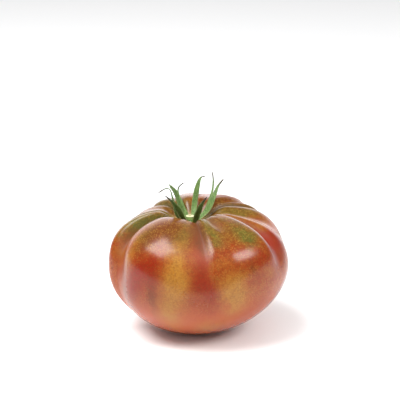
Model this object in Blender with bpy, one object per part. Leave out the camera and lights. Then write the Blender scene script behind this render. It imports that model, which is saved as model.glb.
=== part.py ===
"""A ribbed beefsteak tomato with its calyx, modelled at life size in metres, +Z up.

The origin is the middle of the flat spot that the fruit rests on. Angles called "around" are measured
about +Z from the front (-Y) towards +X. A fruit's "latitude" is -90 degrees at the blossom end, 0 at the
belly and +90 degrees at the bottom of the stem hollow.
"""

import math

import bmesh
import bpy
from mathutils import Quaternion, Vector

MM = 0.001

# The fruit without its creases: a squarish oblate body, a little wider on its right (+X) side
BELLY_RADIUS = 45.8 * MM
BELLY_HEIGHT = 36.0 * MM
DEPTH_RATIO = 0.95
LOPSIDED = 0.092
BELLY_TILT = 2.4 * MM
FOOT_RADIUS = 8.5 * MM
SHOULDER_RISE = 27.3 * MM
SHOULDER_SQUARENESS = 2.72
UNDERSIDE_SQUARENESS = 1.97
SHOULDER_SLOPE = (0.006, 0.056)
STEM_HOLLOW_DEPTH = 9.6 * MM
STEM_HOLLOW_RADIUS = 11.2 * MM
STEM_HOLLOW_SQUARENESS = 2.6

# The creases between the lobes, in order: around, degrees; depth, mm; latitudes where it has faded out and
# where it is full, degrees; and how far the lobe after it swells (+) or sinks (-), mm
CREASES = (
    (-70, 6.4, -64, 44, 1.4),
    (9, 2.5, -36, 66, -0.4),
    (28, 1.5, 48, 68, 0.2),
    (66, 6.4, -14, 46, -6.2),
    (121, 5.6, -20, 40, -4.4),
    (144, 0.8, -10, 50, -0.6),
    (171, 0.5, -30, 40, 0.4),
    (198, 2.0, -30, 40, -0.6),
    (219, 6.0, -40, 40, -2.6),
    (262, 7.0, -60, 40, -0.2),
)
CREASE_FLARE = 2.0
CREASE_SHARP, CREASE_BLUNT = 0.06, 0.75
# A crease is blunt and sharp at these latitudes, degrees, counted from the one where it is full
BLUNT_BELOW, SHARP_ABOVE = -52, 17
SWELL_FROM_LATITUDE, SWELL_FULL_LATITUDE = -25, 40
# The front lobe leans over to its left on the shoulder: its middle there, degrees around; how far, and
# over what width; and the latitudes between which the lean sets in
SHOULDER_DRIFT = (-64, -9, 26)
DRIFTS_BETWEEN = (5, 60)
CREASE_FREE_CORE = 0.30
# The mesh has a column on each crease, and its columns stand closer together near one
COLUMN_STEP = 4.1
FEWEST_COLUMNS = 4
CROWDING = 0.4
ROWS = 38

# The calyx: a small collar in the stem hollow, with narrow sepals that stand up out of it
COLLAR_SEAT = 0.6 * MM
COLLAR_FOOT_RADIUS = 1.4 * MM
COLLAR_RADIUS = 4.9 * MM
COLLAR_THICKNESS = 2.3 * MM
COLLAR_SIDES = 28
SEPAL_ROOT_RADIUS = 3.1 * MM
SEPAL_ROOT_DEPTH = 0.75 * MM
SEPAL_THICKNESS = 0.9 * MM
SEPAL_TIP_WIDTH = 0.75 * MM
SEPAL_TIP_THICKNESS = 0.62 * MM
SEPAL_CHANNEL = 0.32
SEPAL_STATIONS = 22
SEPAL_SIDES = 8
ROOT_LEAN = 64
CURLS_OVER = (0.66, 0.88)
# Each sepal: around, degrees; length, mm; lean from upright, sideways sway and curl of the tip, degrees;
# width, mm; the shares of its length from which it narrows and at which it is only a tail; twist, degrees
SEPALS = (
    (-33, 22.8, 31, -24, 11, 3.3, 0.50, 1.00, 10),
    (18, 23.9, 33, 11, 11, 3.3, 0.45, 0.98, 0),
    (110, 26.3, 27, 27, 29, 3.1, 0.45, 0.96, 30),
    (128, 29.0, 34, 38, -10, 2.3, 0.45, 1.00, -20),
    (171, 28.6, 18, -18, 83, 2.8, 0.50, 0.93, 0),
    (-151, 25.4, 51, -24, -99, 3.2, 0.34, 0.78, 0),
    (-133, 20.7, 15, 22, 10, 4.0, 0.72, 1.12, 20),
    (-66, 26.8, 8, -21, 119, 3.0, 0.34, 0.76, 0),
)

# The pedicel, cut off just above the calyx
STUB_GAP = 0.3 * MM
STUB_RADIUS = 2.1 * MM
STUB_FLARE = 2.4 * MM
STUB_HEIGHT = 1.7 * MM
STUB_OFFSET = -0.7 * MM
STUB_RIM = 0.35 * MM
STUB_SIDES = 20

CREASE_COUNT = len(CREASES)
HOLLOW_FLOOR = BELLY_HEIGHT + SHOULDER_RISE - STEM_HOLLOW_DEPTH
COLLAR_TOP = HOLLOW_FLOOR + COLLAR_SEAT + COLLAR_THICKNESS
UNDERSIDE_DROP = BELLY_HEIGHT / (
    1 - (FOOT_RADIUS / BELLY_RADIUS) ** UNDERSIDE_SQUARENESS
) ** (1 / UNDERSIDE_SQUARENESS)


def smoothstep(low, high, value):
    """0 below low, 1 above high, and a smooth rise between them."""
    t = min(max((value - low) / (high - low), 0.0), 1.0)
    return t * t * (3 - 2 * t)


def blend(a, b, t):
    return a + (b - a) * t


def make_material(name, colour, roughness):
    material = bpy.data.materials.new(name)
    material.use_nodes = True
    shader = material.node_tree.nodes["Principled BSDF"]
    shader.inputs["Base Color"].default_value = (*colour, 1.0)
    shader.inputs["Roughness"].default_value = roughness
    shader.inputs["Metallic"].default_value = 0.0
    return material


def make_object(name, mesh_builder, material, sharp_degrees=50):
    """A new object whose mesh comes from a finished bmesh, with round faces shaded smooth."""
    mesh = bpy.data.meshes.new(name)
    mesh_builder.to_mesh(mesh)
    mesh_builder.free()
    mesh.materials.append(material)
    mesh.shade_smooth()
    mesh.set_sharp_from_angle(angle=math.radians(sharp_degrees))
    made = bpy.data.objects.new(name, mesh)
    bpy.context.scene.collection.objects.link(made)
    return made


def body_point(around, latitude):
    """A point of the fruit as if it had no creases; both angles are in radians."""
    cosine, sine = math.cos(latitude), math.sin(latitude)
    upper = sine > 0
    squareness = SHOULDER_SQUARENESS if upper else UNDERSIDE_SQUARENESS
    spread = (abs(cosine) ** squareness + abs(sine) ** squareness) ** (-1 / squareness)
    radius = BELLY_RADIUS * (1 + LOPSIDED * math.sin(around)) * cosine * spread
    height = BELLY_HEIGHT + (SHOULDER_RISE if upper else UNDERSIDE_DROP) * sine * spread
    hollow = math.exp(-((radius / STEM_HOLLOW_RADIUS) ** STEM_HOLLOW_SQUARENESS)) if upper else 0.0
    height -= STEM_HOLLOW_DEPTH * hollow
    height += BELLY_TILT * math.sin(around) * cosine * smoothstep(-1.2, 0, latitude)
    x, y = radius * math.sin(around), -radius * math.cos(around) * DEPTH_RATIO
    slope = (x * SHOULDER_SLOPE[0] + y * SHOULDER_SLOPE[1]) / BELLY_RADIUS * (1 - hollow)
    return Vector((x, y, max(height, 0.0) * (1 + slope)))


def body_normal(around, latitude, step=1e-3):
    """The outward direction there, from the two tangents."""
    sideways = body_point(around + step, latitude) - body_point(around - step, latitude)
    upwards = body_point(around, latitude + step) - body_point(around, latitude - step)
    return sideways.cross(upwards).normalized()


def from_place(around, place):
    """How far around is from a place in degrees, between minus and plus half a turn."""
    return (math.degrees(around) - place + 180) % 360 - 180


def crease_depth(around, latitude):
    """How far the surface lies in from the plain body, in metres, for the creases and uneven lobes."""
    here = math.degrees(latitude)
    swollen = smoothstep(SWELL_FROM_LATITUDE, SWELL_FULL_LATITUDE, here)
    depth = 0.0
    for i, (place, deepest, fades_at, full_at, swell) in enumerate(CREASES):
        before = (CREASES[i - 1][0] - place) % -360
        after = (CREASES[(i + 1) % CREASE_COUNT][0] - place) % 360
        away = from_place(around, place)
        sharpness = smoothstep(full_at + BLUNT_BELOW, full_at + SHARP_ABOVE, here)
        bluntness = blend(CREASE_BLUNT, CREASE_SHARP, sharpness)
        whole = math.sqrt(1 + bluntness**2) - bluntness
        share = min(abs(away) / abs(after if away > 0 else before) * 2, 1.0)
        share = (math.sqrt(share**2 + bluntness**2) - bluntness) / whole
        notch = (1 - math.sin(math.pi / 2 * share)) ** CREASE_FLARE
        depth += deepest * notch * smoothstep(fades_at, full_at, here)
        if 0 < away < after:
            depth -= swell * math.sin(math.pi * away / after) ** 2 * swollen
    core = 1 - math.exp(-((math.cos(latitude) / CREASE_FREE_CORE) ** 2)) if latitude > 0 else 1
    return depth * core * MM


def drifted(around, latitude):
    """The angle at which a column stands at a latitude, as the front lobe leans over on the shoulder."""
    place, drift, width = SHOULDER_DRIFT
    lean = smoothstep(*DRIFTS_BETWEEN, math.degrees(latitude))
    return around + math.radians(drift) * lean * math.exp(-((from_place(around, place) / width) ** 2))


def fruit_point(around, latitude):
    stands_at = drifted(around, latitude)
    inward = body_normal(stands_at, latitude) * -crease_depth(around, latitude)
    return body_point(stands_at, latitude) + inward


def fruit_columns():
    """The angles of the mesh's columns, in whole steps within each lobe."""
    columns = []
    for i, crease in enumerate(CREASES):
        after = (CREASES[(i + 1) % CREASE_COUNT][0] - crease[0]) % 360
        steps = max(FEWEST_COLUMNS, round(after / COLUMN_STEP))
        for k in range(steps):
            share = k / steps - CROWDING * math.sin(2 * math.pi * k / steps) / (2 * math.pi)
            columns.append(math.radians(crease[0] + after * share))
    return columns


def foot_latitude():
    """The latitude at which the underside meets the flat spot."""
    low, high = -math.pi / 2, 0.0
    for _ in range(50):
        middle = (low + high) / 2
        cosine, sine = math.cos(middle), abs(math.sin(middle))
        n = UNDERSIDE_SQUARENESS
        height = BELLY_HEIGHT - UNDERSIDE_DROP * sine * (cosine**n + sine**n) ** (-1 / n)
        low, high = (middle, high) if height < 0 else (low, middle)
    return high


def build_fruit(material):
    builder = bmesh.new()
    columns = fruit_columns()
    first = foot_latitude()
    rows = []
    for k in range(ROWS):
        latitude = blend(first, math.pi / 2, k / ROWS)
        rows.append([builder.verts.new(fruit_point(around, latitude)) for around in columns])
    for vertex in rows[0]:
        vertex.co.z = 0.0
    hollow = builder.verts.new((0, 0, HOLLOW_FLOOR))
    builder.faces.new(reversed(rows[0]))
    count = len(columns)
    for lower, upper in zip(rows, rows[1:]):
        for k in range(count):
            n = (k + 1) % count
            builder.faces.new((lower[k], lower[n], upper[n], upper[k]))
    for k in range(count):
        builder.faces.new((rows[-1][k], rows[-1][(k + 1) % count], hollow))
    return make_object("fruit", builder, material)


def sepal_rings(around, length, lean, sway, curl, width, narrows_from, tail_from, twist):
    """A sepal's cross-sections: along the hollow's floor, up, and over at its tip.

    Each one is a thin lens folded along the midrib, with its channel on the inner face.
    """
    angle = math.radians(around)
    outward = Vector((math.sin(angle), -math.cos(angle), 0))
    sideways = Vector((math.cos(angle), math.sin(angle), 0))
    up = Vector((0, 0, 1))
    point = outward * SEPAL_ROOT_RADIUS + up * (COLLAR_TOP - SEPAL_ROOT_DEPTH)
    rings = []
    for k in range(SEPAL_STATIONS + 1):
        share = k / SEPAL_STATIONS
        tilt = blend(ROOT_LEAN, lean, smoothstep(0.04, 0.36, share)) + curl * smoothstep(*CURLS_OVER, share)
        turn = sway * smoothstep(0.1, 1.0, share)
        tilt, turn = math.radians(tilt), math.radians(turn)
        along = outward * math.sin(tilt) + up * math.cos(tilt)
        along = along * math.cos(turn) + sideways * math.sin(turn)
        across = (sideways - along * sideways.dot(along)).normalized()
        turned = Quaternion(along, math.radians(-twist) * smoothstep(0.08, 0.55, share))
        across = turned @ across
        inward = along.cross(across)
        taper = smoothstep(-0.25, 0.28, share) * (1 - smoothstep(narrows_from, tail_from, share))
        half_width = blend(SEPAL_TIP_WIDTH, width * MM, taper) / 2
        half_thickness = blend(SEPAL_TIP_THICKNESS, SEPAL_THICKNESS, taper) / 2
        ring = []
        for n in range(SEPAL_SIDES):
            place = 2 * math.pi * n / SEPAL_SIDES
            side = math.cos(place)
            rise = half_thickness * math.sin(place) + SEPAL_CHANNEL * half_width * taper * abs(side)
            ring.append(point + across * side * half_width + inward * rise)
        rings.append(ring)
        point = point + along * length * MM / SEPAL_STATIONS
    return rings


def build_sepal(name, numbers, material):
    builder = bmesh.new()
    rings = [[builder.verts.new(point) for point in ring] for ring in sepal_rings(*numbers)]
    builder.faces.new(rings[0])
    builder.faces.new(reversed(rings[-1]))
    for near, far in zip(rings, rings[1:]):
        for k in range(SEPAL_SIDES):
            n = (k + 1) % SEPAL_SIDES
            # Both faces of the blade are split along the same diagonal
            if k < SEPAL_SIDES // 2:
                triangles = ((near[k], far[k], far[n]), (near[k], far[n], near[n]))
            else:
                triangles = ((near[k], far[k], near[n]), (far[k], far[n], near[n]))
            for corners in triangles:
                builder.faces.new(corners)
    bmesh.ops.recalc_face_normals(builder, faces=builder.faces)
    return make_object(name, builder, material)


def build_calyx(material):
    """The collar with its sepals, joined into one body."""
    builder = bmesh.new()
    bmesh.ops.create_cone(
        builder,
        cap_ends=True,
        segments=COLLAR_SIDES,
        radius1=COLLAR_FOOT_RADIUS,
        radius2=COLLAR_RADIUS,
        depth=COLLAR_THICKNESS,
    )
    bmesh.ops.translate(builder, verts=builder.verts, vec=(0, 0, COLLAR_TOP - COLLAR_THICKNESS / 2))
    calyx = make_object("calyx", builder, material)

    sepals = bpy.data.collections.new("sepals")
    bpy.context.scene.collection.children.link(sepals)
    for i, numbers in enumerate(SEPALS):
        sepal = build_sepal(f"sepal_{i}", numbers, material)
        bpy.context.scene.collection.objects.unlink(sepal)
        sepals.objects.link(sepal)
    union = calyx.modifiers.new("join", "BOOLEAN")
    union.operation = "UNION"
    union.operand_type = "COLLECTION"
    union.collection = sepals
    union.solver = "EXACT"
    joined = bpy.data.meshes.new_from_object(calyx.evaluated_get(bpy.context.evaluated_depsgraph_get()))
    calyx.modifiers.remove(union)
    calyx.data = joined
    for sepal in list(sepals.objects):
        bpy.data.objects.remove(sepal)
    bpy.data.collections.remove(sepals)
    return calyx


def build_pedicel_stub(material):
    """The stalk's end: a short post on the collar, flared at its foot and softened at its cut rim."""
    foot = COLLAR_TOP + STUB_GAP
    top = foot + STUB_HEIGHT
    profile = (
        (STUB_FLARE, foot),
        (STUB_RADIUS, foot + STUB_HEIGHT * 0.4),
        (STUB_RADIUS, top - STUB_RIM),
        (STUB_RADIUS - STUB_RIM, top),
    )
    builder = bmesh.new()
    rings = []
    angles = [2 * math.pi * k / STUB_SIDES for k in range(STUB_SIDES)]
    for radius, height in profile:
        points = [(STUB_OFFSET + radius * math.cos(a), radius * math.sin(a), height) for a in angles]
        rings.append([builder.verts.new(point) for point in points])
    for lower, upper in zip(rings, rings[1:]):
        for k in range(STUB_SIDES):
            n = (k + 1) % STUB_SIDES
            builder.faces.new((lower[k], lower[n], upper[n], upper[k]))
    builder.faces.new(reversed(rings[0]))
    builder.faces.new(rings[-1])
    return make_object("pedicel_stub", builder, material, sharp_degrees=35)


def main():
    for thing in list(bpy.data.objects):
        bpy.data.objects.remove(thing)
    skin = make_material("tomato_skin", (0.42, 0.11, 0.035), 0.28)
    green = make_material("sepal_green", (0.13, 0.24, 0.05), 0.6)
    stalk = make_material("stalk_green", (0.30, 0.38, 0.12), 0.65)
    build_fruit(skin)
    build_calyx(green)
    build_pedicel_stub(stalk)


main()
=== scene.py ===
import math

import bmesh
import bpy
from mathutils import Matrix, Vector


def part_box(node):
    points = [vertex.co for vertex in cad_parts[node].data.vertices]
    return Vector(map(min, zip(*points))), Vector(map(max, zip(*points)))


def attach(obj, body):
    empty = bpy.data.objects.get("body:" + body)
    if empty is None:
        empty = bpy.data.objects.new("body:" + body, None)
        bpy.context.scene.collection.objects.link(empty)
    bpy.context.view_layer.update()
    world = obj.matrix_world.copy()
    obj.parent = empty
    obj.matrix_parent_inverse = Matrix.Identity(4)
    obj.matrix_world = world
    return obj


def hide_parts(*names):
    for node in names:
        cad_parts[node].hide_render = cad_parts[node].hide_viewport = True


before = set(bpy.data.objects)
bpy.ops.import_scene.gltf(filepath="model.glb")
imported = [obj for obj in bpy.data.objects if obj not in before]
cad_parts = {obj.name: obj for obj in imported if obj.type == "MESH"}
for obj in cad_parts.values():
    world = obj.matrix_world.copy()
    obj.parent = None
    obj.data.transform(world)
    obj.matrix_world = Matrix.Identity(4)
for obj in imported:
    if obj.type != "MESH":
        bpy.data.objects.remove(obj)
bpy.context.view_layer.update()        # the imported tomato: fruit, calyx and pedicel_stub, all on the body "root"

# One millimetre of the drawing: the drawn fruit is 89.90 mm wide, and the frame says how wide this one is
DRAWN_WIDTH = 89.90
FRUIT_LOW, FRUIT_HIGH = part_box("fruit")
MM = (FRUIT_HIGH.x - FRUIT_LOW.x) / DRAWN_WIDTH

# The plain body of the fruit, before its creases are cut: millimetres and plain numbers
BODY = {
    "Belly radius": 45.8,
    "Belly height": 36.0,
    "Depth ratio": 0.95,
    "Lopsided": 0.092,
    "Belly tilt": 2.4,
    "Foot radius": 8.5,
    "Shoulder rise": 27.3,
    "Shoulder squareness": 2.72,
    "Underside squareness": 1.97,
    "Slope to the right": 0.006,
    "Slope to the back": 0.056,
    "Hollow depth": 9.6,
    "Hollow radius": 11.2,
    "Hollow squareness": 2.6,
}
LENGTHS = ("Belly radius", "Belly height", "Belly tilt", "Foot radius")
LENGTHS += ("Shoulder rise", "Hollow depth", "Hollow radius")

# Creases in order: degrees around from the front towards +X; depth, mm; latitudes where it has faded out and
# where it is full, degrees; and how far the lobe after it swells (+) or sinks (-), mm
CREASES = (
    (-70, 6.4, -64, 44, 1.4),
    (9, 2.5, -36, 66, -0.4),
    (28, 1.5, 48, 68, 0.2),
    (66, 6.4, -14, 46, -6.2),
    (121, 5.6, -20, 40, -4.4),
    (144, 0.8, -10, 50, -0.6),
    (171, 0.5, -30, 40, 0.4),
    (198, 2.0, -30, 40, -0.6),
    (219, 6.0, -40, 40, -2.6),
    (262, 7.0, -60, 40, -0.2),
)
# How fast a crease closes up to its sides; how rounded its bottom is where it is sharp and where it is blunt;
# and how many degrees from its full latitude it is still blunt, and is sharp
CREASE_FLARE = 2.0
CREASE_SHARP, CREASE_BLUNT = 0.06, 0.75
BLUNT_BELOW, SHARP_ABOVE = -52, 17
# The latitudes between which a lobe's own swelling sets in
SWELL_FROM, SWELL_FULL = -25, 40
# The front lobe leans over to its left on the shoulder: its middle there, degrees around; how far, and over
# what width; and the latitudes between which the lean sets in
SHOULDER_DRIFT = (-64, -9, 26)
DRIFTS_BETWEEN = (5, 60)
# The creases die out towards the bottom of the hollow, where the cosine of the latitude is about this
CREASE_FREE_CORE = 0.30
# The tilt of the belly sets in between these latitudes, radians
BELLY_TILTS_OVER = (-1.2, 0.0)
# The flat chart of the skin: degrees between its columns, the fewest columns in a lobe, how much they crowd
# towards the creases, and its rows from the blossom end to the bottom of the hollow
COLUMN_STEP = 1.5
FEWEST_COLUMNS = 12
CROWDING = 0.55
ROWS = 136
# How far the skin dips unevenly, mm; how many such dips there are to a millimetre; and the heights, mm,
# between which they set in above the flat spot
UNEVENNESS, DIPS = 0.35, 0.028
DIPS_OVER = (2, 12)

# The calyx, in millimetres and degrees
FLOOR_OF_HOLLOW = BODY["Belly height"] + BODY["Shoulder rise"] - BODY["Hollow depth"]
COLLAR_SEAT = 0.6
COLLAR_FOOT_RADIUS = 1.4
COLLAR_RADIUS = 4.9
COLLAR_THICKNESS = 2.3
COLLAR_DISH, COLLAR_DISH_RADIUS = 0.1, COLLAR_RADIUS * 0.45
COLLAR_ROUNDING, COLLAR_SIDES = 0.5, 48
COLLAR_SWELLING, COLLAR_LUMPS = 0.25, 0.35
COLLAR_TOP = FLOOR_OF_HOLLOW + COLLAR_SEAT + COLLAR_THICKNESS
SEPAL = {
    "Root radius": 3.1,
    "Root height": COLLAR_TOP - 0.75,
    "Root lean": 64.0,
    "Thickness": 0.8,
    "Tip width": 0.75,
    "Tip thickness": 0.5,
    "Channel": 0.32,
}
SEPAL_LENGTHS = ("Root radius", "Root height", "Thickness", "Tip width", "Tip thickness")
# Each sepal: degrees around; length, mm; lean from upright, sideways sway and curl of the tip, degrees;
# width, mm; the shares of its length from which it narrows and at which it is only a tail; twist, degrees
SEPAL_COLUMNS = ("Around", "Length", "Lean", "Sway", "Curl", "Width", "Narrows from", "Tail from", "Twist")
SEPAL_ANGLES = ("Around", "Lean", "Sway", "Curl", "Twist")
SEPALS = (
    (-33, 22.8, 31, -24, 11, 3.3, 0.50, 1.00, 10),
    (18, 23.9, 33, 11, 11, 3.3, 0.45, 0.98, 0),
    (110, 26.3, 27, 27, 29, 3.1, 0.45, 0.96, 30),
    (128, 29.0, 34, 38, -10, 2.3, 0.45, 1.00, -20),
    (171, 28.6, 18, -18, 83, 2.8, 0.50, 0.93, 0),
    (-151, 25.4, 51, -24, -99, 3.2, 0.34, 0.78, 0),
    (-133, 20.7, 15, 22, 10, 4.0, 0.72, 1.12, 20),
    (-66, 26.8, 8, -21, 119, 3.0, 0.34, 0.76, 0),
)
# The number of the sepal that has no dry tip
BLUNT_SEPAL = 6.0
# The shares of its length over which a sepal bends up from its root, sways, twists, widens and curls
BENDS_UP_OVER = (0.04, 0.36)
SWAYS_OVER = (0.1, 1.0)
TWISTS_OVER = (0.08, 0.55)
WIDENS_OVER = (-0.25, 0.28)
CURLS_OVER = (0.66, 0.88)
TIP_ROUNDING = 14.0
# Veins from edge to edge and their height, mm; waves of the margin, their height, mm, and their shift from
# one sepal to the next
VEINS, VEIN_RELIEF = 3.0, 0.05
WAVES, WAVE_HEIGHT, WAVE_SHIFT = 17.0, 0.16, 2.3
# Rings along a sepal and points round each
STATIONS, SIDES = 72, 20
# Points nearer than this, m, are one point
CROSSED_BY = 1e-5
# The hairs: length and thickness, mm, how many there are on a square millimetre, and how they vary in length
HAIR_LENGTH, HAIR_THICKNESS, HAIRS = 0.55, 0.05, 2.4
HAIR_SIZES = (0.55, 1.25)
HAIR_STRAYS = (-0.6, -0.6, -0.3), (0.6, 0.6, 0.9)

# The cut stalk, in millimetres
STUB_GAP = 0.3
STUB_FLARE, STUB_RADIUS, STUB_HEIGHT, STUB_OFFSET = 2.4, 2.1, 1.7, -0.7
STUB_TOP = COLLAR_TOP + STUB_GAP + STUB_HEIGHT
STUB_ROUNDING, STUB_SIDES = 0.25, 72
STUB_RIBS, RIB_DEPTH, RIBS_OVER = 9.0, 0.06, (0.3, 1.8)
CUT_UNEVENNESS, CUT_LUMPS, CUT_DEPTH = 0.12, 0.9, 0.2

# Each soft panel: degrees around from the front and up; distance, width and height, m; and watts
PANELS = {
    "key_panel": (-68, 63, 1.05, 0.66, 0.64, 14),
    "fill_panel": (60, 42, 1.2, 0.44, 0.44, 7),
    "wide_panel": (-10, 60, 1.4, 1.6, 1.6, 7.5),
}
# The panels that the skin doesn't mirror
WITHOUT_GLOSS = ("wide_panel",)
# The floor: half its width and how much of it lies in front of the fruit, m; how far it lies below, mm
FLOOR_REACH, FLOOR_IN_FRONT, FLOOR_BELOW = 3.0, 0.14, 0.05
FLOOR_WHITE, FLOOR_ROUGHNESS = (0.93, 0.93, 0.93), 0.7

# Colours of the skin, linear red, green and blue
# The skin's own red low down, made lighter with painted bounce light from the white floor below
LOWER_RED_AND_PAINTED_BOUNCE = (0.38, 0.070, 0.018)
RUSSET = (0.27, 0.038, 0.007)
DEEP_RED = (0.23, 0.014, 0.003)
OCHRE = (0.36, 0.145, 0.018)
OLIVE = (0.090, 0.090, 0.016)
SHOULDER_BROWN = (0.115, 0.032, 0.007)
GOLDEN = (0.56, 0.30, 0.05)
PALE_HOLLOW = (0.64, 0.50, 0.20)
CORK = (0.20, 0.12, 0.06)
# Patches on the skin: the colour, and for each its middle in degrees around and mm up, its half width in
# degrees, its half height in mm, and its strength
PATCHES = {
    "deep red": (DEEP_RED, (
        (-30, 44, 12, 7, 1.0),
        (-40, 36, 8, 8, 0.7),
        (4, 38, 7, 9, 1.0),
        (14, 32, 7, 9, 0.8),
        (-24, 32, 6, 9, 0.9),
        (-48, 30, 12, 10, 0.7),
        (28, 47, 10, 6, 0.5),
        (48, 47, 9, 5, 0.6),
        (42, 38, 8, 5, 0.6),
        (62, 48, 5, 8, 0.9),
        (80, 50, 18, 8, 1.0),
        (-62, 42, 8, 8, 0.5),
        (-84, 44, 7, 8, 0.6),
        (140, 45, 25, 9, 0.6),
        (210, 42, 22, 9, 0.6),
    )),
    "ochre": (OCHRE, (
        (-10, 50, 7, 10, 0.8),
        (-9, 37, 8, 10, 1.0),
        (-16, 22, 9, 12, 0.9),
        (26, 35, 7, 7, 1.0),
        (30, 27, 8, 8, 0.8),
        (14, 12, 12, 5, 0.6),
        (-48, 50, 5, 9, 0.5),
        (86, 58, 12, 4, 0.7),
        (-90, 54, 6, 6, 0.7),
        (100, 40, 14, 10, 0.4),
        (180, 50, 30, 10, 0.7),
        (-110, 38, 16, 12, 0.6),
    )),
    "olive": (OLIVE, (
        (46, 57, 12, 4, 1.0),
        (20, 58, 8, 5, 0.9),
        (-10, 57, 9, 4, 0.7),
        (-44, 55, 9, 4, 0.6),
        (-78, 56, 10, 6, 1.0),
        (-100, 57, 14, 6, 1.0),
        (95, 60, 16, 3, 0.6),
        (120, 57, 20, 5, 0.6),
        (-150, 59, 24, 6, 0.8),
    )),
    "brown": (SHOULDER_BROWN, (
        (-70, 50, 5, 8, 0.6),
        (-23, 59, 15, 5, 1.0),
        (-40, 54, 8, 5, 0.7),
        (10, 58, 5, 7, 1.0),
        (-27, 29, 3, 8, 0.5),
        (-56, 26, 4, 10, 0.4),
        (40, 44, 2, 4, 0.5),
        (160, 52, 30, 6, 0.5),
    )),
}
# Texture of the skin, in features to a millimetre, and of the streaks round the whole fruit
BLOTCHES, MOTTLE, WANDER, RIPPLE = 0.055, 0.45, 0.16, 0.7
GRAINS, DARK_BETWEEN, DIMPLES = 2.1, 1.1, 1.6
BROAD_STREAKS, FINE_STREAKS, STREAK_STRETCH, RAYS = 5.0, 26.0, 0.16, 30.0
# How far the edges of the patches wander: radians and mm, in broad and in fine
WANDERS_AROUND, WANDERS_UP = (0.16, 0.05), (9.0, 3.0)
# Heights, mm, between which the lower red and its painted floor bounce turn russet, the ochre blotches, the grains
# and the dimples set in
RUSSET_OVER = (14.0, 40.0)
BLOTCHES_OVER = (16.0, 44.0)
GRAINS_OVER = (14.0, 34.0)
DIMPLES_OVER = (15.0, 35.0)
# The pale skin: from the stem out, mm; and the heights, mm, at which it sets in and ends
PALE_OUT = (6.5, 12.5)
PALE_FROM, PALE_UP_TO = (44.0, 50.0), (55.5, 59.5)
# The blossom scar: from its middle out, and up, mm
SCAR_OUT, SCAR_UP = (2.0, 4.5), (4.0, 8.0)
# Roughness of the skin, and how much the creases, the pale skin and the scar add to it
SKIN_ROUGHNESS, CREASE_ROUGHNESS, PALE_ROUGHNESS, SCAR_ROUGHNESS = 0.17, 0.3, 0.25, 0.5
# Height of the skin's fine relief, mm
SKIN_RELIEF = 0.02
# Colours of the calyx and the cut stalk
INNER_GREEN = (0.055, 0.125, 0.020)
OUTER_GREEN = (0.060, 0.120, 0.014)
DARK_GREEN = (0.032, 0.072, 0.010)
PALE_GREEN = (0.25, 0.36, 0.10)
PALE_MARGIN = (0.50, 0.52, 0.24)
DRY_TIP = (0.045, 0.028, 0.014)
STALK_GREEN = (0.17, 0.24, 0.06)
CUT_MIDDLE = (0.30, 0.30, 0.10)
CUT_RING = (0.66, 0.62, 0.38)
CUT_EDGE = (0.75, 0.72, 0.50)
HAIR_GREEN, HAIR_WHITE = (0.36, 0.44, 0.22), (0.62, 0.66, 0.48)
# Where along a sepal its tip dries, and where across it its margin pales, in shares
DRIES_OVER, PALES_OVER = (0.72, 0.92), (0.80, 0.98)
# The net of veins and the patches on a sepal, and the grain of the stalk, in features to a millimetre
NET, LEAF_PATCHES, STALK_GRAIN = 1.1, 0.55, 1.6

# The camera: it looks along +Y and down, at a point beside and above the fruit's middle
VIEW_DOWN = math.radians(16.5)
VIEW_DISTANCE = 800.0
VIEW_MIDDLE = 31.0
VIEW_RIGHT, VIEW_UP = 4.25, 34.1
LENS, SENSOR = 144.0, 36.0

# The light beside the panels: a white backdrop behind, a dark room in front with a pale horizon and ground,
# an even light on matt surfaces, and the white that the camera sees
BACKDROP, ROOM, HORIZON, AMBIENT = 2.5, 0.03, 0.35, 0.42
SEEN_WHITE = 1.05
BACKDROP_TINT = (0.96, 0.94, 1.0)
# How far back the backdrop starts and is full, and how far down and up the horizon fades, in shares
BACKDROP_OVER, HORIZON_OVER = (0.58, 0.95), (-0.55, 0.55)


class Number:
    """A number that a node tree works out. Arithmetic on it adds the Math nodes."""

    def __init__(self, socket):
        self.socket = socket

    def made(self, operation, *values):
        node = add(self.socket.id_data, "ShaderNodeMath", values, operation=operation)
        return Number(node.outputs[0])

    def __add__(self, other):
        return self.made("ADD", self, other)

    def __sub__(self, other):
        return self.made("SUBTRACT", self, other)

    def __rsub__(self, other):
        return self.made("SUBTRACT", other, self)

    def __mul__(self, other):
        return self.made("MULTIPLY", self, other)

    def __truediv__(self, other):
        return self.made("DIVIDE", self, other)

    def __rtruediv__(self, other):
        return self.made("DIVIDE", other, self)

    def __pow__(self, other):
        return self.made("POWER", self, other)

    def __gt__(self, other):
        return self.made("GREATER_THAN", self, other)

    def __lt__(self, other):
        return self.made("LESS_THAN", self, other)

    def __abs__(self):
        return self.made("ABSOLUTE", self)

    __radd__ = __add__
    __rmul__ = __mul__


def put(slot, value):
    """Gives an input a link from another node, or a plain value."""
    source = value.socket if isinstance(value, Number) else value
    if isinstance(source, bpy.types.NodeSocket):
        slot.id_data.links.new(source, slot)
    else:
        slot.default_value = source


def add(tree, kind, inputs=(), **settings):
    """A new node with its settings made and its inputs filled, by place or by name."""
    node = tree.nodes.new(kind)
    for name, value in settings.items():
        setattr(node, name, value)
    for key, value in inputs.items() if isinstance(inputs, dict) else enumerate(inputs):
        put(node.inputs[key], value)
    return node


def sin(x):
    return x.made("SINE", x)


def cos(x):
    return x.made("COSINE", x)


def exp(x):
    return x.made("EXPONENT", x)


def sqrt(x):
    return x.made("SQRT", x)


def rounded_down(x):
    return x.made("FLOOR", x)


def least(x, limit):
    return x.made("MINIMUM", x, limit)


def most(x, limit):
    return x.made("MAXIMUM", x, limit)


def half_turn(x):
    """An angle brought to between minus and plus half a turn."""
    return x.made("WRAP", x, math.pi, -math.pi)


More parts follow.
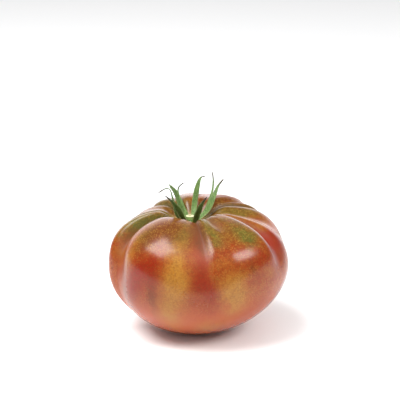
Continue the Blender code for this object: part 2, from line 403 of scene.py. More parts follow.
def smooth(low, high, x):
    """0 below low, 1 above high, and a smooth rise between them."""
    ends = {"Value": x, "From Min": low, "From Max": high}
    node = add(x.socket.id_data, "ShaderNodeMapRange", ends, interpolation_type="SMOOTHSTEP")
    return Number(node.outputs[0])


def blend(a, b, t):
    return (b - a) * t + a


def bell(x, width):
    """1 in the middle and falling away on both sides."""
    share = x / width
    return exp(share * share * -1.0)


def parts_of(tree, vector):
    """The three numbers of a vector."""
    return [Number(s) for s in add(tree, "ShaderNodeSeparateXYZ", [vector]).outputs]


def joined(tree, x, y, z):
    return add(tree, "ShaderNodeCombineXYZ", [x, y, z]).outputs[0]


def cloud(tree, where, scale, detail=2.0, roughness=0.5, distortion=0.0):
    """Soft random light and dark, from 0 to 1."""
    inputs = {"Vector": where, "Scale": scale, "Detail": detail}
    inputs.update({"Roughness": roughness, "Distortion": distortion})
    return Number(add(tree, "ShaderNodeTexNoise", inputs).outputs[0])


def geometry_tree(name, numbers, materials=()):
    """An empty geometry tree with a mesh in and out, and a named input for each number and material."""
    tree = bpy.data.node_groups.new(name, "GeometryNodeTree")
    tree.interface.new_socket("Mesh", in_out="INPUT", socket_type="NodeSocketGeometry")
    tree.interface.new_socket("Mesh", in_out="OUTPUT", socket_type="NodeSocketGeometry")
    for label in numbers:
        tree.interface.new_socket(label, in_out="INPUT", socket_type="NodeSocketFloat")
    for label in materials:
        tree.interface.new_socket(label, in_out="INPUT", socket_type="NodeSocketMaterial")
    source = tree.nodes.new("NodeGroupInput")
    given = {label: Number(source.outputs[label]) for label in (*numbers, *materials)}
    return tree, source.outputs["Mesh"], given, tree.nodes.new("NodeGroupOutput")


def plain_piece(name, mesh, tree, values):
    """Runs a geometry tree on a mesh, and keeps the result as a plain mesh on a piece of that name."""
    piece = bpy.data.objects.new(name, mesh)
    bpy.context.scene.collection.objects.link(piece)
    modifier = piece.modifiers.new(tree.name, "NODES")
    modifier.node_group = tree
    for item in tree.interface.items_tree:
        if item.in_out == "INPUT" and item.name in values:
            modifier[item.identifier] = values[item.name]
    graph = bpy.context.evaluated_depsgraph_get()
    result = bpy.data.meshes.new_from_object(piece.evaluated_get(graph), depsgraph=graph)
    piece.modifiers.remove(modifier)
    piece.data = result
    result.name = name
    return piece


def stored(tree, mesh, name, value):
    """Keeps a number on the mesh's points, for the paint to read."""
    node = add(tree, "GeometryNodeStoreNamedAttribute", {"Geometry": mesh, "Name": name}, data_type="FLOAT")
    put(node.inputs["Value"], value)
    return node.outputs[0]


def kept(tree, name):
    """Reads back a number that was kept on the points."""
    return Number(add(tree, "GeometryNodeInputNamedAttribute", {"Name": name}, data_type="FLOAT").outputs[0])


def moved(tree, mesh, **inputs):
    names = {key.capitalize(): value for key, value in inputs.items()}
    return add(tree, "GeometryNodeSetPosition", {"Geometry": mesh, **names}).outputs[0]


def finished(tree, mesh, material, out):
    """The end of every tree: smooth faces, real geometry and its material."""
    mesh = add(tree, "GeometryNodeSetShadeSmooth", {"Geometry": mesh}).outputs[0]
    mesh = add(tree, "GeometryNodeRealizeInstances", {"Geometry": mesh}).outputs[0]
    mesh = add(tree, "GeometryNodeSetMaterial", {"Geometry": mesh, "Material": material}).outputs[0]
    put(out.inputs["Mesh"], mesh)


def skin_chart():
    """The skin laid out flat: the angle around is across, the latitude up, with a column on each crease."""
    around = []
    for i, crease in enumerate(CREASES):
        width = (CREASES[(i + 1) % len(CREASES)][0] - crease[0]) % 360
        steps = max(FEWEST_COLUMNS, round(width / COLUMN_STEP))
        for k in range(steps):
            share = k / steps - CROWDING * math.sin(2 * math.pi * k / steps) / (2 * math.pi)
            around.append(math.radians(crease[0] + width * share))
    around.append(around[0] + 2 * math.pi)
    latitudes = [math.pi * (k / ROWS - 0.5) for k in range(ROWS + 1)]
    count = len(around)
    points = [(a, latitude, 0) for latitude in latitudes for a in around]
    faces = [
        (row * count + k, row * count + k + 1, (row + 1) * count + k + 1, (row + 1) * count + k)
        for row in range(ROWS)
        for k in range(count - 1)
    ]
    mesh = bpy.data.meshes.new("skin_chart")
    mesh.from_pydata(points, [], faces)
    return mesh


def crease_tree():
    """One crease and the lobe after it: how far they set the skin in, and how near the crease is."""
    labels = ("Around", "Latitude", "Place", "Room before", "Room after")
    labels += ("Depth", "Fades at", "Full at", "Swell")
    tree = bpy.data.node_groups.new("Crease and lobe", "GeometryNodeTree")
    for label in labels:
        tree.interface.new_socket(label, in_out="INPUT", socket_type="NodeSocketFloat")
    for label in ("Inset", "Nearness"):
        tree.interface.new_socket(label, in_out="OUTPUT", socket_type="NodeSocketFloat")
    source = tree.nodes.new("NodeGroupInput")
    around, latitude, place, before, after, depth, fades_at, full_at, swell = (
        Number(source.outputs[label]) for label in labels
    )
    sharpness = smooth(full_at + math.radians(BLUNT_BELOW), full_at + math.radians(SHARP_ABOVE), latitude)
    blunt = sharpness * (CREASE_SHARP - CREASE_BLUNT) + CREASE_BLUNT
    away = half_turn(around - place)
    past = away > 0.0
    whole = sqrt(blunt * blunt + 1.0) - blunt
    share = least(abs(away) / blend(before, after, past) * 2.0, 1.0)
    share = (sqrt(share * share + blunt * blunt) - blunt) / whole
    notch = (1.0 - sin(share * (math.pi / 2))) ** CREASE_FLARE
    fade = smooth(fades_at, full_at, latitude)
    bulge = sin(least(abs(away) / after, 1.0) * math.pi)
    bulge = bulge * bulge * past * smooth(math.radians(SWELL_FROM), math.radians(SWELL_FULL), latitude)
    out = tree.nodes.new("NodeGroupOutput")
    put(out.inputs["Inset"], depth * notch * fade - swell * bulge)
    put(out.inputs["Nearness"], notch * fade)
    return tree


def fruit_tree():
    """Turns the flat chart into the fruit: the plain body, then the creases set in along its normals."""
    tree, mesh, size, out = geometry_tree("Ribbed fruit", (*BODY, "Underside drop", "Unevenness"), ("Skin",))
    around, latitude, _ = parts_of(tree, add(tree, "GeometryNodeInputPosition").outputs[0])

    column = around
    place, drift, width = (math.radians(value) for value in SHOULDER_DRIFT)
    lean = smooth(*(math.radians(value) for value in DRIFTS_BETWEEN), latitude)
    around = column + bell(half_turn(column - place), width) * lean * drift

    cosine, sine = cos(latitude), sin(latitude)
    upper = sine > 0.0
    power = blend(size["Underside squareness"], size["Shoulder squareness"], upper)
    spread = (abs(cosine) ** power + abs(sine) ** power) ** (-1.0 / power)
    radius = size["Belly radius"] * (sin(around) * size["Lopsided"] + 1.0) * abs(cosine) * spread
    hollow = exp((radius / size["Hollow radius"]) ** size["Hollow squareness"] * -1.0) * upper
    rise = blend(size["Underside drop"], size["Shoulder rise"], upper) * sine * spread
    height = size["Belly height"] + rise - size["Hollow depth"] * hollow
    height = height + size["Belly tilt"] * sin(around) * cosine * smooth(*BELLY_TILTS_OVER, latitude)
    x = radius * sin(around)
    y = radius * cos(around) * size["Depth ratio"] * -1.0
    slope = (x * size["Slope to the right"] + y * size["Slope to the back"]) / size["Belly radius"]
    z = most(height, 0.0) * (slope * (1.0 - hollow) + 1.0)

    inset, nearness = None, None
    crease = crease_tree()
    for i, (place, depth, fades_at, full_at, swell) in enumerate(CREASES):
        before = (place - CREASES[i - 1][0]) % 360
        after = (CREASES[(i + 1) % len(CREASES)][0] - place) % 360
        numbers = {
            "Around": column,
            "Latitude": latitude,
            "Place": math.radians(place),
            "Room before": math.radians(before),
            "Room after": math.radians(after),
            "Depth": depth * MM,
            "Fades at": math.radians(fades_at),
            "Full at": math.radians(full_at),
            "Swell": swell * MM,
        }
        node = add(tree, "GeometryNodeGroup", node_tree=crease)
        for label, value in numbers.items():
            put(node.inputs[label], value)
        this_inset, this_nearness = Number(node.outputs["Inset"]), Number(node.outputs["Nearness"])
        inset = this_inset if inset is None else inset + this_inset
        nearness = this_nearness if nearness is None else most(nearness, this_nearness)
    core = 1.0 - exp((cosine / CREASE_FREE_CORE) ** 2.0 * -1.0) * upper
    mesh = stored(tree, mesh, "inset", inset * core)
    mesh = stored(tree, mesh, "crease", nearness * core)
    mesh = stored(tree, mesh, "latitude", latitude)
    mesh = moved(tree, mesh, position=joined(tree, x, y, z))
    mesh = add(tree, "GeometryNodeMergeByDistance", {"Geometry": mesh, "Distance": CROSSED_BY}).outputs[0]

    where = add(tree, "GeometryNodeInputPosition").outputs[0]
    start, full = DIPS_OVER
    dips = cloud(tree, where, DIPS / MM, 1.0) - 1.0
    dips = dips * size["Unevenness"] * smooth(start * MM, full * MM, parts_of(tree, where)[2])
    outwards = add(tree, "GeometryNodeInputNormal").outputs[0]
    mesh = moved(tree, mesh, offset=scaled(tree, outwards, dips - kept(tree, "inset")))
    finished(tree, mesh, size["Skin"], out)
    return tree


def make_fruit(skin):
    ratio = BODY["Foot radius"] / BODY["Belly radius"]
    power = BODY["Underside squareness"]
    sizes = {label: value * MM if label in LENGTHS else value for label, value in BODY.items()}
    sizes["Underside drop"] = sizes["Belly height"] / (1 - ratio**power) ** (1 / power)
    sizes["Unevenness"] = UNEVENNESS * MM
    sizes["Skin"] = skin
    return plain_piece("ribbed_fruit", skin_chart(), fruit_tree(), sizes)


def shaped(tree, operation, *inputs):
    """A vector that comes from other vectors."""
    return add(tree, "ShaderNodeVectorMath", inputs, operation=operation).outputs[0]


def scaled(tree, vector, size):
    node = add(tree, "ShaderNodeVectorMath", [vector], operation="SCALE")
    put(node.inputs["Scale"], size)
    return node.outputs[0]


def sepal_tree():
    """One sepal: its middle line runs outwards, up, and over at its tip, with a ring at each step."""
    labels = (*SEPAL_COLUMNS, *SEPAL, "Number")
    tree = bpy.data.node_groups.new("Sepal", "GeometryNodeTree")
    for label in labels:
        tree.interface.new_socket(label, in_out="INPUT", socket_type="NodeSocketFloat")
    tree.interface.new_socket("Mesh", in_out="OUTPUT", socket_type="NodeSocketGeometry")
    source = tree.nodes.new("NodeGroupInput")
    size = {label: Number(source.outputs[label]) for label in labels}

    index = Number(add(tree, "GeometryNodeInputIndex").outputs[0])
    station = rounded_down((index + 0.5) / (SIDES + 1))
    place = index - station * (SIDES + 1)
    share = station / STATIONS
    a = size["Around"]
    lean = blend(size["Root lean"], size["Lean"], smooth(*BENDS_UP_OVER, share))
    tilt = lean + size["Curl"] * smooth(*CURLS_OVER, share)
    turn = size["Sway"] * smooth(*SWAYS_OVER, share)
    outward, sideways = joined(tree, sin(a), cos(a) * -1.0, 0.0), joined(tree, cos(a), sin(a), 0.0)
    upright = joined(tree, 0.0, 0.0, 1.0)
    along = shaped(tree, "ADD", scaled(tree, outward, sin(tilt)), scaled(tree, upright, cos(tilt)))
    along = shaped(tree, "ADD", scaled(tree, along, cos(turn)), scaled(tree, sideways, sin(turn)))
    step = scaled(tree, along, size["Length"] / STATIONS)
    steps = add(tree, "GeometryNodeAccumulateField", [step, place], data_type="FLOAT_VECTOR")
    path = steps.outputs["Trailing"]
    lift = scaled(tree, upright, size["Root height"])
    root = shaped(tree, "ADD", scaled(tree, outward, size["Root radius"]), lift)

    across = shaped(tree, "NORMALIZE", shaped(tree, "SUBTRACT", sideways, scaled(tree, along, sin(turn))))
    inward = shaped(tree, "CROSS_PRODUCT", along, across)
    twist = size["Twist"] * smooth(*TWISTS_OVER, share)
    twisted = shaped(tree, "ADD", scaled(tree, across, cos(twist)), scaled(tree, inward, sin(twist)))
    inward = shaped(tree, "CROSS_PRODUCT", along, twisted)

    angle = place * (2 * math.pi / SIDES)
    side, face = cos(angle), sin(angle)
    taper = smooth(*WIDENS_OVER, share) * (1.0 - smooth(size["Narrows from"], size["Tail from"], share))
    ends = least(station, 1.0) * sqrt(least((1.0 - share) * TIP_ROUNDING, 1.0))
    half_width = blend(size["Tip width"], size["Width"], taper) * ends / 2.0
    half_thickness = blend(size["Tip thickness"], size["Thickness"], taper) * ends / 2.0
    veins = cos(side * VEINS * math.pi) * VEIN_RELIEF * MM
    channel = size["Channel"] * half_width * taper * abs(side)
    rise = half_thickness * face + channel + veins * taper * (1.0 - side * side)
    wave = sin(share * WAVES + size["Number"] * WAVE_SHIFT) * side * side * WAVE_HEIGHT * MM * taper
    point = shaped(tree, "ADD", shaped(tree, "ADD", root, path), scaled(tree, twisted, side * half_width))
    point = shaped(tree, "ADD", point, scaled(tree, inward, rise + wave))

    mesh = add(tree, "GeometryNodeMeshGrid", {"Vertices X": STATIONS + 1, "Vertices Y": SIDES + 1}).outputs[0]
    length_mm = share * size["Length"] / MM
    for name, value in {"share": share, "side": side, "face": face, "length_mm": length_mm}.items():
        mesh = stored(tree, mesh, name, value)
    mesh = stored(tree, mesh, "number", size["Number"])
    mesh = moved(tree, mesh, position=point)
    mesh = add(tree, "GeometryNodeMergeByDistance", {"Geometry": mesh, "Distance": CROSSED_BY}).outputs[0]
    mesh = add(tree, "GeometryNodeFlipFaces", {"Mesh": mesh}).outputs[0]
    put(tree.nodes.new("NodeGroupOutput").inputs["Mesh"], mesh)
    return tree


def calyx_tree():
    """The collar comes in as it is turned; the tree swells it unevenly and sets the sepals on it."""
    tree, mesh, size, out = geometry_tree("Calyx", (*SEPAL, "Collar swelling"), ("Green",))
    where = add(tree, "GeometryNodeInputPosition").outputs[0]
    outwards = add(tree, "GeometryNodeInputNormal").outputs[0]
    swelling = cloud(tree, where, COLLAR_LUMPS / MM) * size["Collar swelling"]
    mesh = moved(tree, mesh, offset=scaled(tree, outwards, swelling))
    for name, value in {"share": 0.0, "side": 0.0, "face": 1.0, "length_mm": 0.0, "number": -1.0}.items():
        mesh = stored(tree, mesh, name, value)
    whole = add(tree, "GeometryNodeJoinGeometry")
    put(whole.inputs[0], mesh)
    sepal = sepal_tree()
    for number, row in enumerate(SEPALS):
        node = add(tree, "GeometryNodeGroup", {label: size[label] for label in SEPAL}, node_tree=sepal)
        for label, value in zip(SEPAL_COLUMNS, row):
            value = math.radians(value) if label in SEPAL_ANGLES else value
            put(node.inputs[label], value * MM if label in ("Length", "Width") else value)
        put(node.inputs["Number"], float(number))
        put(whole.inputs[0], node.outputs["Mesh"])
    finished(tree, whole.outputs[0], size["Green"], out)
    return tree


def turned_mesh(name, profile, sides):
    """A closed mesh turned about +Z from (radius, height) points, from the bottom's middle to the top's."""
    bm = bmesh.new()
    rings = []
    for radius, height in profile[1:-1]:
        angles = [2 * math.pi * k / sides for k in range(sides)]
        rings.append([bm.verts.new((radius * math.cos(a), radius * math.sin(a), height)) for a in angles])
    bottom, top = (bm.verts.new((0, 0, height)) for _, height in (profile[0], profile[-1]))
    for k in range(sides):
        n = (k + 1) % sides
        bm.faces.new((bottom, rings[0][n], rings[0][k]))
        bm.faces.new((rings[-1][k], rings[-1][n], top))
        for lower, upper in zip(rings, rings[1:]):
            bm.faces.new((lower[k], lower[n], upper[n], upper[k]))
    mesh = bpy.data.meshes.new(name)
    bm.to_mesh(mesh)
    bm.free()
    return mesh


def rounded(profile, radius, steps=4):
    """The same profile with its inner corners rounded off."""
    points = [profile[0]]
    for before, here, after in zip(profile, profile[1:], profile[2:]):
        here = Vector(here)
        start, end = (here + (Vector(p) - here).normalized() * min(radius, (Vector(p) - here).length / 2.2)
                      for p in (before, after))
        for k in range(steps + 1):
            t = k / steps
            points.append(tuple(start * (1 - t) ** 2 + here * 2 * t * (1 - t) + end * t * t))
    return points + [profile[-1]]


def make_calyx(green):
    profile = (
        (0, COLLAR_TOP - COLLAR_THICKNESS),
        (COLLAR_FOOT_RADIUS, COLLAR_TOP - COLLAR_THICKNESS),
        (COLLAR_RADIUS, COLLAR_TOP),
        (COLLAR_DISH_RADIUS, COLLAR_TOP - COLLAR_DISH),
        (0, COLLAR_TOP - COLLAR_DISH),
    )
    outline = [(r * MM, z * MM) for r, z in rounded(profile, COLLAR_ROUNDING)]
    collar = turned_mesh("collar", outline, COLLAR_SIDES)
    sizes = {label: value * MM if label in SEPAL_LENGTHS else value for label, value in SEPAL.items()}
    sizes["Root lean"] = math.radians(SEPAL["Root lean"])
    sizes["Collar swelling"] = COLLAR_SWELLING * MM
    sizes["Green"] = green
    return plain_piece("calyx_with_sepals", collar, calyx_tree(), sizes)


def hairs_tree():
    """Short fine hairs all over the calyx, each of its own length and lean."""
    labels = ("Length", "Thickness", "Per square metre")
    tree, mesh, size, out = geometry_tree("Fine hairs", labels, ("Hair",))
    inputs = {"Mesh": mesh, "Density": size["Per square metre"], "Seed": 11}
    spread = add(tree, "GeometryNodeDistributePointsOnFaces", inputs)
    cone = {"Vertices": 3, "Radius Top": 0.0, "Depth": size["Length"]}
    cone["Radius Bottom"] = size["Thickness"] / 2.0
    hair = add(tree, "GeometryNodeMeshCone", cone, fill_type="NGON")
    stray = add(tree, "FunctionNodeRandomValue", data_type="FLOAT_VECTOR")
    put(stray.inputs["Min"], HAIR_STRAYS[0])
    put(stray.inputs["Max"], HAIR_STRAYS[1])
    put(stray.inputs["Seed"], 5)
    way = shaped(tree, "ADD", spread.outputs["Normal"], stray.outputs[0])
    turned = add(tree, "FunctionNodeAlignRotationToVector", {"Vector": way}, axis="Z")
    shortest, longest = HAIR_SIZES
    length = add(tree, "FunctionNodeRandomValue", {2: shortest, 3: longest, "Seed": 3}, data_type="FLOAT")
    points = {"Points": spread.outputs["Points"], "Instance": hair.outputs["Mesh"]}
    hairs = add(tree, "GeometryNodeInstanceOnPoints", points)
    put(hairs.inputs["Rotation"], turned.outputs[0])
    put(hairs.inputs["Scale"], length.outputs[1])
    finished(tree, hairs.outputs[0], size["Hair"], out)
    return tree


def make_hairs(calyx, paint):
    sizes = {"Length": HAIR_LENGTH * MM, "Thickness": HAIR_THICKNESS * MM, "Hair": paint}
    sizes["Per square metre"] = HAIRS * 1e6 / (MM * 1000) ** 2
    return plain_piece("calyx_hairs", calyx.data.copy(), hairs_tree(), sizes)


def stub_tree():
    """Lengthwise ribs round the stalk, fading out towards the cut."""
    tree, mesh, size, out = geometry_tree("Cut stalk", ("Offset", "Rib depth", "Cut height"), ("Stalk",))
    x, y, z = parts_of(tree, add(tree, "GeometryNodeInputPosition").outputs[0])
    around = x.made("ARCTAN2", y, x)
    inner, outer = (radius * MM for radius in RIBS_OVER)
    ribs = (cos(around * STUB_RIBS) - 1.0) * size["Rib depth"] * smooth(inner, outer, sqrt(x * x + y * y))
    dip = cloud(tree, add(tree, "GeometryNodeInputPosition").outputs[0], CUT_LUMPS / MM) * CUT_UNEVENNESS * MM
    dip = dip * smooth(size["Cut height"] - CUT_DEPTH * MM, size["Cut height"], z)
    ribbed = ribs / STUB_RADIUS / MM + 1.0
    where = joined(tree, x * ribbed + size["Offset"], y * ribbed, z - dip)
    finished(tree, moved(tree, mesh, position=where), size["Stalk"], out)
    return tree


def make_stub(stalk):
    foot = COLLAR_TOP + STUB_GAP
    profile = (
        (0, foot),
        (STUB_FLARE, foot),
        (STUB_RADIUS, foot + STUB_HEIGHT * 0.45),
        (STUB_RADIUS, STUB_TOP - 0.1),
        (STUB_RADIUS * 0.72, STUB_TOP - 0.02),
        (STUB_RADIUS * 0.35, STUB_TOP - 0.12),
        (0, STUB_TOP - 0.15),
    )
    mesh = turned_mesh("stalk", [(r * MM, z * MM) for r, z in rounded(profile, STUB_ROUNDING)], STUB_SIDES)
    sizes = {"Offset": STUB_OFFSET * MM, "Rib depth": RIB_DEPTH * MM, "Cut height": STUB_TOP * MM}
    sizes["Stalk"] = stalk
    return plain_piece("cut_stalk", mesh, stub_tree(), sizes)


def painted(name, **fixed):
    """A new material: its tree, its shader, and the place on the piece in Object coordinates."""
    material = bpy.data.materials.new(name)
    material.use_nodes = True
    tree = material.node_tree
    shader = tree.nodes["Principled BSDF"]
    for label, value in fixed.items():
        shader.inputs[label.replace("_", " ")].default_value = value
    return material, tree, shader, add(tree, "ShaderNodeTexCoord").outputs["Object"]


def colour_mix(tree, a, b, t):
    a, b = ((*c, 1) if isinstance(c, tuple) else c for c in (a, b))
    return add(tree, "ShaderNodeMix", {0: t, 6: a, 7: b}, data_type="RGBA").outputs[2]


def read(tree, name):
    """A number kept on the piece's points."""
    return Number(add(tree, "ShaderNodeAttribute", attribute_name=name).outputs["Fac"])


def spots(tree, where, scale, randomness=1.0):
    """How far the nearest of many scattered points is, in its own spacing."""
    inputs = {"Vector": where, "Scale": scale, "Randomness": randomness}
    return Number(add(tree, "ShaderNodeTexVoronoi", inputs).outputs["Distance"])


def bumped(tree, shader, height, distance):
    """Fine relief in the shading, of a height and up to a distance."""
    relief = add(tree, "ShaderNodeBump", {"Height": height, "Distance": distance, "Strength": 1.0})
    put(shader.inputs["Normal"], relief.outputs[0])


def patch_group():
    """A soft patch of colour: how much of it there is at a place on the skin."""
    group = bpy.data.node_groups.new("Soft patch", "ShaderNodeTree")
    labels = ("Around", "Height", "Middle around", "Middle height", "Width", "Tall", "Strength")
    for label in labels:
        group.interface.new_socket(label, in_out="INPUT", socket_type="NodeSocketFloat")
    group.interface.new_socket("Amount", in_out="OUTPUT", socket_type="NodeSocketFloat")
    source = group.nodes.new("NodeGroupInput")
    around, height, middle, level, width, tall, strength = (Number(source.outputs[label]) for label in labels)
    across, up = half_turn(around - middle) / width, (height - level) / tall
    amount = exp((across * across + up * up) * -1.0) * strength
    put(group.nodes.new("NodeGroupOutput").inputs["Amount"], amount)
    return group


def skin_paint():
    material, tree, shader, where = painted("tomato_skin", IOR=1.42)
    x, y, z = (axis / MM for axis in parts_of(tree, where))
    radius = sqrt(x * x + y * y)
    crease, latitude = read(tree, "crease"), read(tree, "latitude")
    unit = joined(tree, x / radius, y / radius, latitude)

    # Streaks that run from the stem to the blossom end, long and thin
    stretch = {"Vector": unit, "Scale": (1.0, 1.0, STREAK_STRETCH)}
    meridians = add(tree, "ShaderNodeMapping", stretch).outputs[0]
    broad = cloud(tree, meridians, BROAD_STREAKS, 3.0, 0.6)
    fine = cloud(tree, meridians, FINE_STREAKS, 4.0, 0.65)
    blotches = cloud(tree, where, BLOTCHES / MM, 3.0, 0.55, 0.6)
    mottle = cloud(tree, where, MOTTLE / MM, 3.0, 0.6)

    # A place on the skin, pushed about a little so that the edges of the patches wander
    wander = cloud(tree, where, WANDER / MM, 3.0, 0.6) - 0.5
    ripple = cloud(tree, where, RIPPLE / MM, 2.0, 0.6) - 0.5
    around = x.made("ARCTAN2", x, y * -1.0) + wander * WANDERS_AROUND[0] + ripple * WANDERS_AROUND[1]
    height = z + wander * WANDERS_UP[0] + ripple * WANDERS_UP[1]

    # Red low down, lightened there with painted bounce light from the floor, turning russet higher up
    colour = colour_mix(tree, LOWER_RED_AND_PAINTED_BOUNCE, RUSSET, smooth(*RUSSET_OVER, z + (broad - 0.5) * 20.0))
    ochre = smooth(0.45, 0.75, blotches) * smooth(*BLOTCHES_OVER, z) * 0.6
    colour = colour_mix(tree, colour, OCHRE, ochre)
    brown = smooth(0.55, 1.05, latitude + (broad - 0.5) * 0.5) * 0.8
    colour = colour_mix(tree, colour, SHOULDER_BROWN, brown)
    group, amounts = patch_group(), {}
    for name, (tint, places) in PATCHES.items():
        amount = 0.0
        for middle, level, width, tall, strength in places:
            numbers = {
                "Around": around,
                "Height": height,
                "Middle around": math.radians(middle),
                "Middle height": level,
                "Width": math.radians(width),
                "Tall": tall,
                "Strength": strength,
            }
            node = add(tree, "ShaderNodeGroup", numbers, node_tree=group)
            amount = Number(node.outputs[0]) + amount
        amounts[name] = least(amount * (mottle * 0.6 + 0.7), 1.0)
        colour = colour_mix(tree, colour, tint, amounts[name])
    colour = colour_mix(tree, colour, DEEP_RED, smooth(0.56, 0.72, fine) * 0.35 * smooth(0.0, 20.0, z))

    # Golden grains over the upper two thirds, each a fraction of a millimetre, with darker skin between them
    grains = 1.0 - smooth(0.12, 0.55, spots(tree, where, GRAINS / MM))
    grain_band = smooth(*GRAINS_OVER, height) * (1.0 - smooth(0.3, 1.0, crease))
    between = grain_band * smooth(0.42, 0.7, cloud(tree, where, DARK_BETWEEN / MM)) * 0.4
    colour = colour_mix(tree, colour, SHOULDER_BROWN, between)
    fewer = 0.55 - amounts["deep red"] * 0.45
    colour = colour_mix(tree, colour, GOLDEN, grains * smooth(0.32, 0.6, mottle) * fewer * grain_band)

    # Pale skin with fine rays round the stem, low in the hollow, and a corky scar at the blossom end
    rays = cloud(tree, joined(tree, x / radius, y / radius, 0.0), RAYS, 2.0)
    hollow = 1.0 - smooth(*PALE_OUT, radius + (rays - 0.5) * 5.0)
    hollow = hollow * smooth(*PALE_FROM, z) * (1.0 - smooth(*PALE_UP_TO, z))
    colour = colour_mix(tree, colour, PALE_HOLLOW, hollow * (rays * 0.5 + 0.5))
    scar = (1.0 - smooth(*SCAR_OUT, radius + (mottle - 0.5) * 3.0)) * (1.0 - smooth(*SCAR_UP, z))
    colour = colour_mix(tree, colour, CORK, scar)
    put(shader.inputs["Base Color"], colour)

    roughness = mottle * 0.08 + fine * 0.04 + SKIN_ROUGHNESS + crease * CREASE_ROUGHNESS
    put(shader.inputs["Roughness"], roughness + hollow * PALE_ROUGHNESS + scar * SCAR_ROUGHNESS)
    dimples = smooth(0.0, 0.5, spots(tree, where, DIMPLES / MM)) * smooth(*DIMPLES_OVER, z) * 0.25
    bumped(tree, shader, dimples + fine * 0.4 + mottle * 0.4 + scar * (1.0 - ripple) * 6.0, SKIN_RELIEF * MM)
    return material


def sepal_paint():
    material, tree, shader, where = painted("sepal_green", IOR=1.45)
    share, side, face = read(tree, "share"), read(tree, "side"), read(tree, "face")
    number, length = read(tree, "number"), read(tree, "length_mm")
    inner = smooth(-0.1, 0.25, face)
    blade = joined(tree, side * 1.7, length, number * 7.0 + inner * 3.0)
    patchy = cloud(tree, blade, LEAF_PATCHES, 3.0, 0.6)
    colour = colour_mix(tree, OUTER_GREEN, INNER_GREEN, inner)
    colour = colour_mix(tree, colour, DARK_GREEN, smooth(0.45, 0.75, patchy) * 0.55)
    net = smooth(0.30, 0.55, spots(tree, blade, NET))
    colour = colour_mix(tree, colour, PALE_GREEN, net * (inner * 0.32 + 0.06))
    veins = smooth(0.55, 1.0, cos(side * VEINS * math.pi)) * 0.12
    colour = colour_mix(tree, colour, PALE_GREEN, veins)
    margin = smooth(*PALES_OVER, abs(side)) * (1.0 - smooth(0.0, 0.9, share))
    colour = colour_mix(tree, colour, PALE_MARGIN, margin * 0.55)
    dry = smooth(*DRIES_OVER, share + (patchy - 0.5) * 0.18) * (1.0 - bell(number - BLUNT_SEPAL, 0.5) * 0.8)
    colour = colour_mix(tree, colour, DRY_TIP, dry)
    colour = colour_mix(tree, colour, OUTER_GREEN, (number < 0.0) * 0.6)
    put(shader.inputs["Base Color"], colour)
    put(shader.inputs["Roughness"], patchy * 0.2 + 0.45 + dry * 0.2)
    bumped(tree, shader, net * 0.6 + veins * 2.0 + patchy, 0.06 * MM)
    return material


def hair_paint():
    material, tree, shader, where = painted("calyx_hair", IOR=1.45)
    put(shader.inputs["Base Color"], colour_mix(tree, HAIR_GREEN, HAIR_WHITE, cloud(tree, where, 0.8 / MM)))
    put(shader.inputs["Roughness"], cloud(tree, where, 2.0 / MM) * 0.3 + 0.4)
    bumped(tree, shader, cloud(tree, where, 9.0 / MM), 0.01 * MM)
    return material


def stalk_paint():
    material, tree, shader, where = painted("stalk_green", IOR=1.45)
    x, y, z = (axis / MM for axis in parts_of(tree, where))
    x = x - STUB_OFFSET
    radius = sqrt(x * x + y * y)
    grain = cloud(tree, where, STALK_GRAIN / MM, 3.0, 0.65)
    cut = smooth(STUB_TOP - 0.45, STUB_TOP - 0.2, z)
    face = colour_mix(tree, CUT_MIDDLE, CUT_RING, smooth(0.5, 1.1, radius + (grain - 0.5) * 0.8))
    face = colour_mix(tree, face, CUT_EDGE, smooth(1.7, 2.05, radius))
    bark = colour_mix(tree, STALK_GREEN, PALE_GREEN, smooth(0.4, 0.7, grain))
    put(shader.inputs["Base Color"], colour_mix(tree, bark, face, cut))
    put(shader.inputs["Roughness"], grain * 0.3 + 0.45)
    bumped(tree, shader, grain + spots(tree, where, 3.5 / MM) * cut, 0.12 * MM)
    return material


def flat_material(name, colour, roughness):
    material = bpy.data.materials.new(name)
    material.use_nodes = True
    shader = material.node_tree.nodes["Principled BSDF"]
    shader.inputs["Base Color"].default_value = (*colour, 1)
    shader.inputs["Roughness"].default_value = roughness
    return material


def make_camera():
    up = Vector((0, math.sin(VIEW_DOWN), math.cos(VIEW_DOWN)))
    back = Vector((0, -math.cos(VIEW_DOWN), math.sin(VIEW_DOWN)))
    aim = Vector((VIEW_RIGHT, 0, VIEW_MIDDLE)) + up * VIEW_UP
    camera = bpy.data.objects.new("camera", bpy.data.cameras.new("camera"))
    camera.data.lens = LENS
    camera.data.sensor_width = SENSOR
    camera.location = (aim + back * VIEW_DISTANCE) * MM
    camera.rotation_euler = (math.pi / 2 - VIEW_DOWN, 0, 0)
    bpy.context.scene.collection.objects.link(camera)
    bpy.context.scene.camera = camera


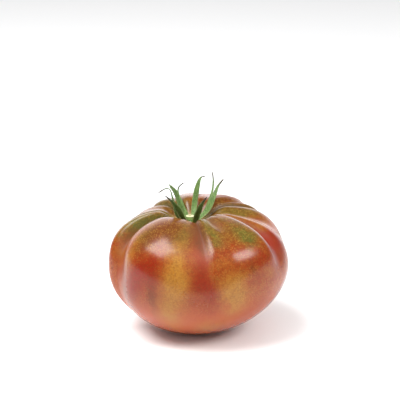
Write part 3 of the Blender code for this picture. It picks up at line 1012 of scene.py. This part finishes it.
def make_light():
    for name, (around, height, distance, wide, tall, watts) in PANELS.items():
        panel = bpy.data.objects.new(name, bpy.data.lights.new(name, "AREA"))
        panel.data.shape = "RECTANGLE"
        panel.data.size, panel.data.size_y = wide, tall
        panel.data.energy = watts
        around, height = math.radians(around), math.radians(height)
        level = math.cos(height) * distance
        panel.location = (math.sin(around) * level, -math.cos(around) * level, math.sin(height) * distance)
        panel.rotation_euler = (-panel.location).to_track_quat("-Z", "Y").to_euler()
        panel.visible_glossy = name not in WITHOUT_GLOSS
        bpy.context.scene.collection.objects.link(panel)
    world = bpy.data.worlds.new("white studio")
    world.use_nodes = True
    tree = world.node_tree
    background = tree.nodes["Background"]
    _, y, z = parts_of(tree, add(tree, "ShaderNodeTexCoord").outputs["Generated"])
    room = smooth(*BACKDROP_OVER, y) * (BACKDROP - ROOM) + ROOM
    room = room + (1.0 - smooth(*HORIZON_OVER, z)) * HORIZON
    path = add(tree, "ShaderNodeLightPath")
    tint = colour_mix(tree, (1.0, 1.0, 1.0), BACKDROP_TINT, path.outputs["Is Glossy Ray"])
    put(background.inputs["Color"], tint)
    room = blend(room, AMBIENT, Number(path.outputs["Is Diffuse Ray"]))
    put(background.inputs["Strength"], blend(room, SEEN_WHITE, Number(path.outputs["Is Camera Ray"])))
    bpy.context.scene.world = world
    bpy.context.scene.view_settings.view_transform = "Standard"


def make_floor():
    bm = bmesh.new()
    bmesh.ops.create_grid(bm, x_segments=1, y_segments=1, size=FLOOR_REACH)
    bmesh.ops.translate(bm, verts=bm.verts, vec=(0, FLOOR_REACH - FLOOR_IN_FRONT, -FLOOR_BELOW * MM))
    mesh = bpy.data.meshes.new("floor")
    bm.to_mesh(mesh)
    mesh.materials.append(flat_material("white_floor", FLOOR_WHITE, FLOOR_ROUGHNESS))
    floor = bpy.data.objects.new("floor", mesh)
    bpy.context.scene.collection.objects.link(floor)


make_camera()
make_light()
make_floor()
fruit = make_fruit(skin_paint())
calyx = make_calyx(sepal_paint())
hairs = make_hairs(calyx, hair_paint())
stub = make_stub(stalk_paint())
for piece, node, slot in (
    (fruit, "fruit", "tomato_skin"),
    (calyx, "calyx", "sepal_green"),
    (hairs, None, "sepal_green"),
    (stub, "pedicel_stub", "stalk_green"),
):
    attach(piece, "root")
    if node:
        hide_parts(node)
